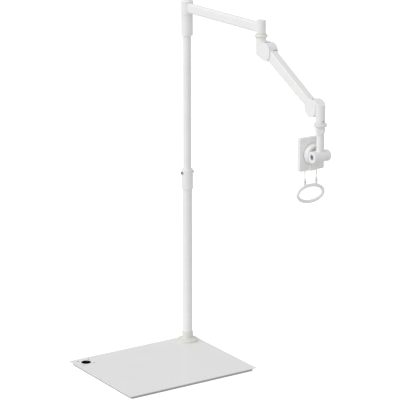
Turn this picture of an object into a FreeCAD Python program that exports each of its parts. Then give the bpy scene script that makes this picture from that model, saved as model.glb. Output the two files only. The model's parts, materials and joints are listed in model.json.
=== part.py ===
import FreeCAD, Part
import math
import operator
import os
import Sketcher

# Floor-stand support arm for a screen or tablet.
# Row frame in millimetres: origin on the floor under the column axis, +Z up,
# the base runs from the column along -X, and the arms reach along -Y.

doc = FreeCAD.newDocument("SupportArm")
sheet = doc.addObject("Spreadsheet::Sheet", "Dims")
Vector = FreeCAD.Vector
Rotation = FreeCAD.Rotation

DIMENSIONS = {
    # base
    "base_length": 630, "base_width": 510, "column_inset_side": 55, "column_inset_back": 52,
    "mat_thick": 1.5, "mat_inset": 24, "weight_thick": 13, "weight_inset": 9,
    "weight_corner": 12, "weight_edge": 2, "cover_thick": 2.5, "column_spacing": 520,
    "bolt_square": 50, "foot_bolt": 6, "foot_bolt_hole": 6.4, "foot_bolt_head": 10.5,
    "foot_bolt_head_high": 5, "foot_bolt_grip": 21,
    # column
    "rim_wide": 22, "rim_high": 9, "foot_neck_wall": 3, "foot_dome_high": 16, "foot_high": 45,
    "lower_wall": 2, "guide_wall": 1.5, "lower_top": 774, "upper_dia": 35, "upper_wall": 2,
    "upper_bottom": 540, "bush_length": 60, "bush_flange": 2, "shoe_long": 40, "plug_long": 20,
    "plug_wall": 3,
    "clamp_wall": 4, "clamp_bottom": 714, "clamp_top": 803, "clamp_screw": 8,
    "clamp_screw_drop": 15.5, "clamp_head_dia": 12, "clamp_head_long": 6,
    "sleeve_wall": 7.5, "sleeve_bottom": 1391, "sleeve_top": 1480, "sleeve_web": 25,
    # arm swivel
    "spindle_dia": 16, "spindle_foot": 6, "hub_dia": 52, "hub_skirt": 4.5, "hub_top": 1535,
    "swivel_gap": 0.5,
    "washer_thick": 2, "hub_bush_wall": 3, "hub_bush_long": 18, "nut_recess": 34,
    "nut_recess_deep": 15, "nut_dia": 27, "nut_high": 9, "cap_high": 11, "cap_plug": 5,
    # extension arm
    "arm_reach": 550, "arm_axis_high": 1511, "arm_tall": 42, "arm_wide": 25,
    "arm_corner": 8.5, "arm_wall": 3, "post_dia": 38, "post_bottom": 1489, "post_top": 1540,
    "post_cap_thick": 3, "elbow_dia": 14, "post_bush_wall": 3, "post_bush_long": 14,
    "post_recess": 28, "post_recess_deep": 12, "elbow_nut_dia": 23, "elbow_nut_high": 8,
    # yoke and elbow ring
    "ring_dia": 54, "ring_high": 14, "ring_round": 6, "yoke_neck_dia": 42, "yoke_back": 52,
    "pivot_high": 1423, "yoke_neck_rise": 49, "yoke_neck_drop": 17, "yoke_slope": 0.29, "yoke_tangent": 10,
    "spindle_low": 6, "cheek_past": 1,
    "cheek_thick": 4.5, "side_gap": 0.5, "cover_plate": 1.6,
    # spring arm
    "spring_reach": 358, "spring_dip": 28.5, "beam_wide": 34, "beam_half_upper": 25,
    "beam_half_lower": 19.5, "knuckle_upper": 36, "knuckle_lower": 30, "knuckle_gap": 1,
    "beam_wall": 3, "beam_top_round": 5, "beam_under_round": 8, "under_cover_deep": 10,
    "cover_start": 38, "cover_stop": 32, "tray_wall": 3.5, "tray_floor": 2.5,
    "knuckle_hollow": 20, "throat_near": 17, "throat_far": 50, "throat_top": 12,
    "stop_across": 0, "stop_spacing": 9.5, "stop_side": 6, "stop_lower": 5,
    "stop_along": 24.5, "stop_deep": 9, "pin_dia": 12, "pivot_bush_wall": 2, "link_drop": 14,
    "link_pin_dia": 5, "slot_room": 0.8, "link_eye": 5, "link_rod_dia": 5, "link_thick": 8,
    "spring_dia": 20, "spring_wire": 3, "spring_turns": 14, "spring_start": 80,
    "spring_long": 190, "spring_rod_dia": 8, "spring_rise": 4, "seat_thick": 6,
    "seat_gap": 0.2, "rod_past": 20,
    # head
    "head_post_dia": 39, "head_post_out": 41, "head_top": 36, "head_web": 20,
    "head_flat": 14, "head_fall": 19,
    "head_bottom": 54, "spindle_drop": 8, "head_screw_drop": 45,
    "wrist_dia": 12, "wrist_seat": 39, "wrist_bush_wall": 2, "wrist_bush_long": 14,
    "wrist_bush_gap": 6, "head_screw_dia": 6, "lower_ring_gap": 0.5,
    "lock_wall": 5.5, "lock_foot_wall": 2, "lock_high": 33, "lock_taper": 15,
    "lock_turn": -30, "lock_flat_wall": 2.2, "lock_flat_wide": 24, "lock_catch": 8,
    "drop_dia": 28, "barrel_high": 1064.5, "barrel_dia": 46,
    "barrel_wide": 39, "barrel_total": 77, "lug_gap": 0.5, "lug_arm_tall": 30, "lug_arm_thick": 12,
    "tilt_bolt": 12,
    "bolt_head": 20, "bolt_head_deep": 6, "socket_key": 8,
    "hub_disc_dia": 84, "hub_disc_front": 933, "hub_disc_back": 910, "friction_disc": 70,
    "hub_disc_round": 7, "hub_dish_dia": 62, "hub_dish_deep": 10,
    # mounting plate and handle
    "plate_wide": 120, "plate_tall": 135, "plate_thick": 17, "plate_back": 908,
    "rib_wide": 26, "rib_out": 7, "plate_wall": 3, "plate_corner": 6, "plate_round": 3, "vesa_large": 100,
    "vesa_small": 75, "vesa_hole": 4.2, "rotate_dia": 12, "rotate_head": 22,
    "rotate_head_thick": 5, "handle_spacing": 56, "handle_rod_dia": 5,
    "connector_dia": 10.5, "connector_top": 963, "connector_bottom": 931,
    "connector_screw": 5, "connector_screw_high": 19.8, "rod_seat": 12,
    "rod_inside": 8, "handle_high": 901, "handle_half_wide": 62,
    "handle_half_tall": 33, "handle_tube": 14,
    # fits
    "running_gap": 0.05, "press_gap": 0.05, "face_gap": 0.3,
}

for line, (alias, number) in enumerate(DIMENSIONS.items(), 1):
    sheet.set(f"A{line}", alias)
    sheet.set(f"B{line}", str(number))
    sheet.setAlias(f"B{line}", alias)
doc.recompute()


class Size:
    """A length or angle that carries its spreadsheet expression and its value."""

    def __init__(self, text, value):
        self.text = text
        self.value = value

    def __add__(self, other):
        return joined(self, "+", other)

    def __radd__(self, other):
        return joined(other, "+", self)

    def __sub__(self, other):
        return joined(self, "-", other)

    def __rsub__(self, other):
        return joined(other, "-", self)

    def __mul__(self, other):
        return joined(self, "*", other)

    def __rmul__(self, other):
        return joined(other, "*", self)

    def __truediv__(self, other):
        return joined(self, "/", other)

    def __neg__(self):
        return joined(0, "-", self)


OPERATORS = {"+": operator.add, "-": operator.sub, "*": operator.mul, "/": operator.truediv}


def as_size(number):
    """A plain number as a Size; a Size stays as it is."""
    return number if isinstance(number, Size) else Size(f"({number})", float(number))


def joined(first, sign, second):
    """The Size of two sizes joined by one arithmetic sign."""
    first, second = as_size(first), as_size(second)
    value = OPERATORS[sign](first.value, second.value)
    return Size(f"({first.text} {sign} {second.text})", value)


def sine(angle):
    return Size(f"sin({angle.text})", math.sin(math.radians(angle.value)))


def cosine(angle):
    return Size(f"cos({angle.text})", math.cos(math.radians(angle.value)))


class Sheet:
    """Reads each alias of the spreadsheet as a Size."""

    def __getattr__(self, alias):
        return Size(f"Dims.{alias}", float(DIMENSIONS[alias]))


D = Sheet()
X_AXIS, Y_AXIS, Z_AXIS = Vector(1, 0, 0), Vector(0, 1, 0), Vector(0, 0, 1)
nodes = []


def bind(item, path, number):
    """Drive one property from the spreadsheet."""
    item.setExpression(path, as_size(number).text)


def seat(item, at, axis=None, angle=0):
    """Place a sub-part at a spot of the row frame, turned about one axis."""
    turn = Rotation(axis, as_size(angle).value) if axis else Rotation()
    item.Placement = FreeCAD.Placement(Vector(), turn)
    for letter, number in zip("xyz", at):
        bind(item, f"Placement.Base.{letter}", number)
    if isinstance(angle, Size):
        bind(item, "Placement.Rotation.Angle", angle)


def new_body(name, at=(0, 0, 0), axis=None, angle=0):
    """A PartDesign body that becomes the node of the same name."""
    body = doc.addObject("PartDesign::Body", name)
    body.Label = name
    seat(body, at, axis, angle)
    nodes.append(body)
    return body


def new_sketch(body, name, plane="XY", lift=0):
    """An empty sketch on one of the body's own origin planes, lifted along its normal."""
    sketch = body.newObject("Sketcher::SketchObject", f"{body.Name}_{name}")
    planes = {feature.Role: feature for feature in body.Origin.OriginFeatures}
    sketch.AttachmentSupport = (planes[f"{plane}_Plane"], [""])
    sketch.MapMode = "FlatFace"
    bind(sketch, "AttachmentOffset.Base.z", lift)
    return sketch


def fix_point(sketch, edge, end, across, up):
    """Hold one point of a sketch at driven distances from the sketch's origin."""
    for kind, number in (("DistanceX", across), ("DistanceY", up)):
        size = as_size(number)
        row = sketch.addConstraint(Sketcher.Constraint(kind, -1, 1, edge, end, size.value))
        bind(sketch, f"Constraints[{row}]", size)


def add_circle(sketch, across, up, radius):
    """A circle with a driven centre and radius."""
    centre = Vector(as_size(across).value, as_size(up).value, 0)
    circle = Part.Circle(centre, Z_AXIS, as_size(radius).value)
    edge = sketch.addGeometry(circle, False)
    row = sketch.addConstraint(Sketcher.Constraint("Radius", edge, as_size(radius).value))
    bind(sketch, f"Constraints[{row}]", radius)
    fix_point(sketch, edge, 3, across, up)


def bulge_point(start, end, radius):
    """The middle of the minor arc from start to end; a negative radius bulges left."""
    chord = end - start
    half = chord.Length / 2
    rise = abs(radius) - math.sqrt(max(radius * radius - half * half, 0))
    side = Vector(chord.y, -chord.x, 0).normalize() * math.copysign(rise, radius)
    return (start + end) / 2 + side


def add_outline(sketch, corners):
    """A closed outline. A corner is (across, up), or (across, up, radius) where an arc starts."""
    spots = [Vector(as_size(c[0]).value, as_size(c[1]).value, 0) for c in corners]
    ends = []
    for index, corner in enumerate(corners):
        start, end = spots[index], spots[(index + 1) % len(spots)]
        if len(corner) == 3:
            radius = as_size(corner[2])
            middle = bulge_point(start, end, radius.value)
            onward = radius.value > 0
            first, last = (start, end) if onward else (end, start)
            edge = sketch.addGeometry(Part.Arc(first, middle, last), False)
            ends.append((edge, 1, 2) if onward else (edge, 2, 1))
            size = radius if onward else -radius
            row = sketch.addConstraint(Sketcher.Constraint("Radius", edge, size.value))
            bind(sketch, f"Constraints[{row}]", size)
        else:
            ends.append((sketch.addGeometry(Part.LineSegment(start, end), False), 1, 2))
    for index, corner in enumerate(corners):
        edge, start_end, _ = ends[index]
        before, _, before_end = ends[index - 1]
        sketch.addConstraint(Sketcher.Constraint("Coincident", before, before_end, edge, start_end))
        fix_point(sketch, edge, start_end, corner[0], corner[1])


def add_box(sketch, low, high):
    """A rectangle between two corners."""
    add_outline(sketch, [low, (high[0], low[1]), high, (low[0], high[1])])


def pad(body, sketch, length, centred=False, reverse=False):
    """Extrude a sketch."""
    feature = body.newObject("PartDesign::Pad", f"{sketch.Name}_pad")
    feature.Profile = sketch
    feature.SideType = "Symmetric" if centred else "One side"
    feature.Reversed = reverse
    bind(feature, "Length", length)
    doc.recompute()
    return feature


def check_cut(body, before, name):
    """A cut that removes nothing is a fault."""
    doc.recompute()
    if body.Shape.Volume > before - 1e-3:
        raise RuntimeError(f"{name} removes nothing")


def pocket(body, sketch, length=None, centred=False, reverse=False):
    """Cut a sketch out, right through where no length is given."""
    doc.recompute()
    before = body.Shape.Volume
    feature = body.newObject("PartDesign::Pocket", f"{sketch.Name}_pocket")
    feature.Profile = sketch
    feature.SideType = "Symmetric" if centred else "One side"
    feature.Reversed = reverse
    if length is None:
        feature.Type = "ThroughAll"
    else:
        bind(feature, "Length", length)
    check_cut(body, before, feature.Name)


def turn(body, sketch):
    """Revolve a sketch about its upright axis."""
    feature = body.newObject("PartDesign::Revolution", f"{sketch.Name}_turn")
    feature.Profile = sketch
    feature.ReferenceAxis = (sketch, ["V_Axis"])
    feature.Angle = 360
    doc.recompute()


def round_edges(body, radius, chosen):
    """Fillet the edges of the body's last feature that pass a test."""
    doc.recompute()
    base = body.Tip
    names = [f"Edge{i}" for i, edge in enumerate(base.Shape.Edges, 1) if chosen(edge)]
    if not names:
        raise RuntimeError(f"{body.Name} has no edge to round")
    feature = body.newObject("PartDesign::Fillet", f"{body.Name}_round{len(body.Group)}")
    feature.Base = (base, names)
    bind(feature, "Radius", radius)
    doc.recompute()


def near(first, second):
    return abs(first - as_size(second).value) < 1e-3


def hoop(radius, height):
    """Test for a full circle of a radius at a height."""
    def chosen(edge):
        box = edge.BoundBox
        round_edge = near(box.ZMin, height) and near(box.ZMax, height)
        return round_edge and near(box.XMax, radius) and near(box.YMax, radius)
    return chosen


def level(height):
    """Test for an edge that lies at one height."""
    return lambda edge: near(edge.BoundBox.ZMin, height) and near(edge.BoundBox.ZMax, height)


def upright(edge):
    """Test for a straight edge along Z."""
    return edge.BoundBox.XLength + edge.BoundBox.YLength < 1e-3


def turned(name, outlines, at, axis=None, angle=0, rounds=()):
    """A body turned about its own Z axis from outlines of (radius, height)."""
    body = new_body(name, at, axis, angle)
    sketch = new_sketch(body, "profile", "XZ")
    for outline in outlines:
        add_outline(sketch, outline)
    turn(body, sketch)
    for radius, hoop_radius, height in rounds:
        round_edges(body, radius, hoop(hoop_radius, height))
    return body


def ring_outline(outer, inner, low, high):
    """The half section of a plain ring or tube, by radii and heights."""
    return [(inner, low), (outer, low), (outer, high), (inner, high)]


# Places that several pieces share
WEIGHT_TOP = D.mat_thick + D.weight_thick
COVER_TOP = WEIGHT_TOP + D.cover_thick
BASE_EAST, BASE_NORTH = D.column_inset_side, D.column_inset_back
BASE_WEST, BASE_SOUTH = BASE_EAST - D.base_length, BASE_NORTH - D.base_width
LOWER_OUT = D.upper_dia / 2 + D.guide_wall + D.lower_wall
COLUMN_BORE = LOWER_OUT + 0.2
LOWER_IN = LOWER_OUT - D.lower_wall
CLAMP_OUT = LOWER_OUT + D.clamp_wall
UPPER_IN = D.upper_dia / 2 - D.upper_wall
CLAMP_SCREW_HIGH = D.clamp_top - D.clamp_screw_drop
SLEEVE_WEB_LOW = D.sleeve_top - D.sleeve_web
HUB_LOW = D.sleeve_top + D.swivel_gap
WASHER_TOP = D.sleeve_top + D.washer_thick
HUB_BORE = D.spindle_dia / 2 + D.running_gap + D.hub_bush_wall
HUB_RECESS = D.hub_top - D.nut_recess_deep
POST_BORE = D.elbow_dia / 2 + D.running_gap + D.post_bush_wall
POST_RECESS = D.post_top - D.post_recess_deep
ELBOW_Y = -D.arm_reach
PIVOT_Y = ELBOW_Y - D.yoke_back
YOKE_TOP = D.pivot_high + D.yoke_neck_rise
HEAD_Y = PIVOT_Y - D.spring_reach * cosine(D.spring_dip)
HEAD_Z = D.pivot_high - D.spring_reach * sine(D.spring_dip)
WRIST_Y = HEAD_Y - D.head_post_out
HEAD_LOW = HEAD_Z - D.head_bottom
LOWER_RING_TOP = HEAD_LOW - D.lower_ring_gap
LOCK_TOP = LOWER_RING_TOP - D.ring_high
PLATE_Y = -D.plate_back
PLATE_FRONT = PLATE_Y + D.plate_thick
CAVITY_Y = PLATE_Y + D.plate_thick / 2
CHEEK_IN = D.beam_wide / 2 + D.side_gap
FORK_OUT = CHEEK_IN + D.cheek_thick
CHEEK_OUT = FORK_OUT - D.cover_plate
CHEEK_RADIUS = D.knuckle_upper + D.cheek_past
LOCK_OUT = D.drop_dia / 2 + D.lock_wall
PIN_BORE = D.pin_dia / 2 + D.press_gap
BUSH_BORE = D.pin_dia / 2 + D.running_gap
BUSH_OUT = BUSH_BORE + D.pivot_bush_wall
BARREL = D.barrel_dia / 2
FLAT_TO_CORNER = 0.866
BELOW = 60
SLOT_START, SLOT_MIDDLE, SLOT_END = 214, 268, 322


def square_spots(centre_x, spacing):
    """The corners of a bolt square about a point of the X axis."""
    half = spacing / 2
    return [(centre_x + half * i, half * j) for i in (-1, 1) for j in (-1, 1)]


def base():
    """Rubber mat, heavy plate, thin cover, and the screws that hold the column's foot."""
    body = new_body("base_mat")
    inset = D.weight_inset + D.mat_inset
    sketch = new_sketch(body, "plan")
    add_box(sketch, (BASE_WEST + inset, BASE_SOUTH + inset), (BASE_EAST - inset, BASE_NORTH - inset))
    pad(body, sketch, D.mat_thick)
    round_edges(body, D.weight_corner, upright)

    body = new_body("base_weight", (0, 0, D.mat_thick))
    sketch = new_sketch(body, "plan")
    inset = D.weight_inset
    add_box(sketch, (BASE_WEST + inset, BASE_SOUTH + inset), (BASE_EAST - inset, BASE_NORTH - inset))
    pad(body, sketch, D.weight_thick)
    round_edges(body, D.weight_corner, upright)
    round_edges(body, D.weight_edge, level(0))
    sketch = new_sketch(body, "bores", lift=D.weight_thick)
    add_column_holes(sketch)
    pocket(body, sketch)
    sketch = new_sketch(body, "counterbores")
    for x, y in square_spots(as_size(0), D.bolt_square):
        add_circle(sketch, x, y, D.foot_bolt_head / 2 + 0.5)
    pocket(body, sketch, D.foot_bolt_head_high + 0.5, reverse=True)

    body = new_body("base_cover", (0, 0, WEIGHT_TOP))
    sketch = new_sketch(body, "plan")
    add_box(sketch, (BASE_WEST, BASE_SOUTH), (BASE_EAST, BASE_NORTH))
    pad(body, sketch, D.cover_thick)
    sketch = new_sketch(body, "bores", lift=D.cover_thick)
    add_column_holes(sketch)
    pocket(body, sketch)

    body = new_body("foot_screws", (0, 0, D.mat_thick + 0.5))
    for part, radius, length in (("shanks", D.foot_bolt / 2, D.foot_bolt_grip),
                                 ("heads", D.foot_bolt_head / 2, D.foot_bolt_head_high)):
        sketch = new_sketch(body, part)
        for x, y in square_spots(as_size(0), D.bolt_square):
            add_circle(sketch, x, y, radius)
        pad(body, sketch, length)


def add_column_holes(sketch):
    """The column bore and its bolt square, at the used place and at the spare one."""
    for centre in (as_size(0), -D.column_spacing):
        add_circle(sketch, centre, 0, COLUMN_BORE)
        for x, y in square_spots(centre, D.bolt_square):
            add_circle(sketch, x, y, D.foot_bolt_hole / 2)


def column():
    """Foot flange, lower tube, clamp collar with its screws, and the guide bush."""
    bore = LOWER_OUT + D.press_gap
    neck = LOWER_OUT + D.foot_neck_wall
    rim = neck + D.rim_wide
    flange = turned("foot_flange", [[
        (bore, 0), (rim, 0), (rim, D.rim_high), (rim * 0.82, D.rim_high + 2.5),
        (neck, D.foot_dome_high), (neck, D.foot_high), (bore, D.foot_high)]],
        (0, 0, COVER_TOP), rounds=[(3, rim, D.rim_high), (5, neck, D.foot_dome_high),
                                   (2.5, neck, D.foot_high)])
    sketch = new_sketch(flange, "threads")
    for x, y in square_spots(as_size(0), D.bolt_square):
        add_circle(sketch, x, y, D.foot_bolt / 2 + 0.05)
    pocket(flange, sketch, D.foot_bolt_grip + 0.5 + D.mat_thick - COVER_TOP + 0.3, reverse=True)

    low = D.mat_thick
    turned("lower_tube", [ring_outline(LOWER_OUT, LOWER_IN, 0, D.lower_top - low)], (0, 0, low))

    high = D.clamp_top - D.clamp_bottom
    step = D.lower_top + D.bush_flange - D.clamp_bottom + 0.2
    outer, lip = CLAMP_OUT, D.upper_dia / 2 + D.face_gap
    collar = turned("clamp_collar", [[
        (bore, 0), (outer, 0), (outer, high), (lip, high), (lip, step), (bore, step)]],
        (0, 0, D.clamp_bottom), rounds=[(2, outer, high), (1.5, outer, 0)])
    sketch = new_sketch(collar, "screws", "YZ")
    add_circle(sketch, 0, CLAMP_SCREW_HIGH - D.clamp_bottom, D.clamp_screw / 2 + D.press_gap)
    pocket(collar, sketch, CLAMP_OUT * 2, centred=True)

    body = new_body("clamp_screws", (0, 0, CLAMP_SCREW_HIGH))
    tip = D.upper_dia / 2 + D.face_gap
    for side, reverse in (("west", True), ("east", False)):
        sign = -1 if reverse else 1
        sketch = new_sketch(body, f"{side}_shank", "YZ", lift=tip * sign)
        add_circle(sketch, 0, 0, D.clamp_screw / 2)
        pad(body, sketch, CLAMP_OUT - tip + 0.5, reverse=reverse)
        sketch = new_sketch(body, f"{side}_head", "YZ", lift=(CLAMP_OUT + 0.2) * sign)
        add_circle(sketch, 0, 0, D.clamp_head_dia / 2)
        pad(body, sketch, D.clamp_head_long, reverse=reverse)

    inner = D.upper_dia / 2 + D.running_gap
    outer = LOWER_IN - D.press_gap
    turned("top_guide_bush", [[
        (inner, -D.bush_length), (outer, -D.bush_length), (outer, 0), (LOWER_OUT, 0),
        (LOWER_OUT, D.bush_flange), (inner, D.bush_flange)]], (0, 0, D.lower_top))


def mast():
    """Sliding upper tube, its lower bush, the top sleeve and the arm's spindle."""
    low = D.upper_bottom
    turned("upper_tube", [ring_outline(D.upper_dia / 2, UPPER_IN, 0, SLEEVE_WEB_LOW - low)], (0, 0, low))

    slide, plug = LOWER_IN - D.running_gap, UPPER_IN - D.press_gap
    turned("bottom_guide_bush", [[
        (plug - D.plug_wall, -D.shoe_long), (slide, -D.shoe_long), (slide, 0), (plug, 0),
        (plug, D.plug_long), (plug - D.plug_wall, D.plug_long)]],
        (0, 0, low))

    outer, bore = D.upper_dia / 2 + D.sleeve_wall, D.upper_dia / 2 + D.press_gap
    core = D.spindle_dia / 2 + D.press_gap
    high, web = D.sleeve_top - D.sleeve_bottom, SLEEVE_WEB_LOW - D.sleeve_bottom
    turned("top_sleeve", [[
        (bore, 0), (outer, 0), (outer, high), (core, high), (core, web), (bore, web)]],
        (0, 0, D.sleeve_bottom), rounds=[(1.5, outer, 0), (1, outer, high)])

    shaft = D.spindle_dia / 2
    nut_top = HUB_RECESS + D.face_gap + D.nut_high
    turned("arm_spindle", [[
        (0, -D.spindle_foot), (UPPER_IN - 1, -D.spindle_foot), (UPPER_IN - 1, -0.1), (shaft, -0.1),
        (shaft, nut_top - SLEEVE_WEB_LOW + 1), (0, nut_top - SLEEVE_WEB_LOW + 1)]],
        (0, 0, SLEEVE_WEB_LOW))
    turned("thrust_washer", [ring_outline(D.hub_dia / 2 - 5, core, 0, D.washer_thick)],
           (0, 0, D.sleeve_top))
    nut("spindle_nut", D.nut_dia, core, D.nut_high, (0, 0, HUB_RECESS + D.face_gap))


def nut(name, across_corners, bore, high, at):
    """A hexagon nut standing along Z."""
    body = new_body(name, at)
    sketch = new_sketch(body, "hexagon")
    radius = across_corners / 2
    half, flat = radius / 2, radius * FLAT_TO_CORNER
    add_outline(sketch, [(radius, 0), (half, flat), (-half, flat), (-radius, 0), (-half, -flat),
                         (half, -flat)])
    add_circle(sketch, 0, 0, bore)
    pad(body, sketch, high)


def extension_arm():
    """Hub with bushes and cap, box-section arm, and the elbow's post."""
    outer, high = D.hub_dia / 2, D.hub_top - HUB_LOW
    washer_recess = WASHER_TOP - HUB_LOW + D.face_gap
    rim = D.hub_dia / 2 - D.hub_skirt
    recess = D.nut_recess / 2
    turned("arm_hub", [[
        (rim, 0), (outer, 0), (outer, high), (recess, high), (recess, high - D.nut_recess_deep),
        (HUB_BORE, high - D.nut_recess_deep), (HUB_BORE, washer_recess), (rim, washer_recess)]],
        (0, 0, HUB_LOW), rounds=[(1, outer, 0)])

    inner, bush = D.spindle_dia / 2 + D.running_gap, HUB_BORE - D.press_gap
    top = high - D.nut_recess_deep
    turned("hub_bushes", [
        ring_outline(bush, inner, washer_recess, washer_recess + D.hub_bush_long),
        ring_outline(bush, inner, top - D.hub_bush_long + 3, top)], (0, 0, HUB_LOW))

    plug = recess - D.press_gap
    turned("hub_cap", [[
        (0, 0), (plug - 2, 0), (plug - 2, -D.cap_plug), (plug, -D.cap_plug), (plug, 0), (outer, 0),
        (outer, D.cap_high), (0, D.cap_high)]], (0, 0, D.hub_top),
        rounds=[(D.cap_high * 0.72, outer, D.cap_high)])

    body = new_body("arm_beam", (0, 0, D.arm_axis_high))
    wide, tall = D.arm_wide / 2, D.arm_tall / 2
    sketch = new_sketch(body, "section", "XZ")
    add_box(sketch, (-wide, -tall), (wide, tall))
    pad(body, sketch, D.arm_reach)
    round_edges(body, D.arm_corner, along_y)
    sketch = new_sketch(body, "hollow", "XZ")
    wall = D.arm_wall
    add_box(sketch, (wall - wide, wall - tall), (wide - wall, tall - wall))
    pocket(body, sketch, reverse=True)
    for name, radius, y in (("hub", D.hub_dia / 2, as_size(0)), ("post", D.post_dia / 2, ELBOW_Y)):
        sketch = new_sketch(body, f"{name}_saddle")
        add_circle(sketch, 0, y, radius + D.press_gap)
        pocket(body, sketch, D.arm_tall + 2, centred=True)

    outer, high = D.post_dia / 2, D.post_top - D.post_bottom
    recess, floor = D.post_recess / 2, high - D.post_recess_deep
    turned("end_post", [[
        (POST_BORE, 0), (outer, 0), (outer, high), (recess, high), (recess, floor),
        (POST_BORE, floor)]], (0, ELBOW_Y, D.post_bottom), rounds=[(1.5, outer, 0)])
    inner, bush = D.elbow_dia / 2 + D.running_gap, POST_BORE - D.press_gap
    turned("post_bushes", [
        ring_outline(bush, inner, 0, D.post_bush_long),
        ring_outline(bush, inner, floor - D.post_bush_long, floor)], (0, ELBOW_Y, D.post_bottom))
    turned("post_cap", [[
        (0, 0), (recess - 2, 0), (recess - 2, -2), (recess - D.press_gap, -2), (recess - D.press_gap, 0),
        (outer, 0), (outer, D.post_cap_thick), (0, D.post_cap_thick)]],
        (0, ELBOW_Y, D.post_top), rounds=[(2, outer, D.post_cap_thick)])


def along_y(edge):
    """Test for a straight edge along Y."""
    return edge.BoundBox.XLength + edge.BoundBox.ZLength < 1e-3 and edge.BoundBox.YLength > 1


def swivel_ring(name, at):
    """A rounded bearing ring that stands between two swivelling pieces."""
    outer = D.ring_dia / 2
    turned(name, [ring_outline(outer, D.elbow_dia / 2 + D.press_gap, 0, D.ring_high)], at,
           rounds=[(D.ring_round, outer, 0), (D.ring_round, outer, D.ring_high)])


def fork_pins(prefix, y, z):
    """Main pin, link pin and the two plain discs that hide their ends."""
    for name, diameter, drop in (("pivot_pin", D.pin_dia, as_size(0)),
                                 ("link_pin", D.link_pin_dia, D.link_drop)):
        body = new_body(f"{prefix}_{name}", (0, y, z - drop))
        sketch = new_sketch(body, "round", "YZ")
        add_circle(sketch, 0, 0, diameter / 2)
        pad(body, sketch, (CHEEK_OUT - 0.2) * 2, centred=True)
    body = new_body(f"{prefix}_pivot_covers", (0, y, z))
    for side, reverse in (("west", True), ("east", False)):
        sketch = new_sketch(body, side, "YZ", lift=-CHEEK_OUT if reverse else CHEEK_OUT)
        add_circle(sketch, 0, 0, CHEEK_RADIUS)
        pad(body, sketch, D.cover_plate, reverse=reverse)


def fork_cuts(body, knuckle, reach):
    """The gap that the spring arm's knuckle turns in, and the two pin bores."""
    room = knuckle + D.knuckle_gap
    sketch = new_sketch(body, "gap_round", "YZ")
    add_circle(sketch, 0, 0, room)
    pocket(body, sketch, CHEEK_IN * 2, centred=True)
    sketch = new_sketch(body, "gap_mouth", "YZ")
    low, high = reach
    add_box(sketch, (low, -room - 20), (high, room + 20))
    pocket(body, sketch, CHEEK_IN * 2, centred=True)
    sketch = new_sketch(body, "pin_bores", "YZ")
    add_circle(sketch, 0, 0, PIN_BORE)
    add_circle(sketch, 0, -D.link_drop, D.link_pin_dia / 2 + D.press_gap)
    pocket(body, sketch, FORK_OUT * 4, centred=True)


def yoke():
    """Elbow spindle and ring, and the fork that carries the spring arm."""
    body = new_body("yoke", (0, PIVOT_Y, D.pivot_high))
    radius, neck = CHEEK_RADIUS, FORK_OUT
    back = D.yoke_back + neck
    slant = D.yoke_neck_drop + (back - D.yoke_tangent) * D.yoke_slope
    sketch = new_sketch(body, "discs", "YZ")
    add_circle(sketch, 0, 0, radius)
    pad(body, sketch, CHEEK_OUT * 2, centred=True)
    sketch = new_sketch(body, "side", "YZ")
    add_outline(sketch, [(0, -radius + 0.2), (D.yoke_tangent, -slant), (back, -D.yoke_neck_drop),
                         (back, radius - 0.2), (0, radius - 0.2)])
    pad(body, sketch, CHEEK_OUT * 2, centred=True)
    sketch = new_sketch(body, "corners")
    room = back + 5
    side = CHEEK_OUT + 5
    add_outline(sketch, [(side, D.yoke_back), (side, room), (-side, room), (-side, D.yoke_back),
                         (-CHEEK_OUT, D.yoke_back, -CHEEK_OUT),
                         (0, D.yoke_back + CHEEK_OUT, -CHEEK_OUT), (CHEEK_OUT, D.yoke_back)])
    pocket(body, sketch, radius * 3, centred=True)
    sketch = new_sketch(body, "neck")
    add_circle(sketch, 0, D.yoke_back, D.yoke_neck_dia / 2)
    pad(body, sketch, D.yoke_neck_rise)
    fork_cuts(body, D.knuckle_upper, (-radius - 5, as_size(8)))
    sketch = new_sketch(body, "spindle_bore", lift=D.yoke_neck_rise)
    add_circle(sketch, 0, D.yoke_back, D.elbow_dia / 2 + D.press_gap)
    pocket(body, sketch, D.yoke_neck_rise - D.spindle_low + 1)

    swivel_ring("upper_swivel_ring", (0, ELBOW_Y, YOKE_TOP))
    bore = D.elbow_dia / 2 + D.press_gap
    ring_top = YOKE_TOP + D.ring_high
    turned("elbow_washer", [ring_outline(D.post_dia / 2 - 2, bore, 0,
                                         D.post_bottom - ring_top - D.face_gap)],
           (0, ELBOW_Y, ring_top))
    low = D.pivot_high + D.spindle_low
    nut_low = POST_RECESS + D.face_gap
    turned("elbow_spindle", [[(0, 0), (D.elbow_dia / 2, 0),
                              (D.elbow_dia / 2, nut_low + D.elbow_nut_high - low),
                              (0, nut_low + D.elbow_nut_high - low)]], (0, ELBOW_Y, low))
    nut("elbow_nut", D.elbow_nut_dia, bore, D.elbow_nut_high - 1, (0, ELBOW_Y, nut_low))
    fork_pins("upper", PIVOT_Y, D.pivot_high)


def half_height(along):
    """Half the beam's height at a distance along it."""
    return D.beam_half_upper - (D.beam_half_upper - D.beam_half_lower) * along / D.spring_reach


def link_slots(body, y):
    """The curved slots in which a link pin swings round a main pivot."""
    inner = D.link_drop - D.link_pin_dia / 2 - D.slot_room
    outer = D.link_drop + D.link_pin_dia / 2 + D.slot_room
    spots = [(angle, radius) for angle, radius in
             ((SLOT_START, inner), (SLOT_START, outer), (SLOT_MIDDLE, outer), (SLOT_END, outer),
              (SLOT_END, inner), (SLOT_MIDDLE, inner))]
    corners = []
    for index, (angle, radius) in enumerate(spots):
        across = y + radius * math.cos(math.radians(angle))
        up = radius * math.sin(math.radians(angle))
        if index in (1, 2):
            corners.append((across, up, radius))
        elif index in (4, 5):
            corners.append((across, up, -radius))
        else:
            corners.append((across, up))
    sketch = new_sketch(body, f"link_slot{len(body.Group)}", "YZ")
    add_outline(sketch, corners)
    pocket(body, sketch, D.beam_wide + 2, centred=True)


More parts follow.
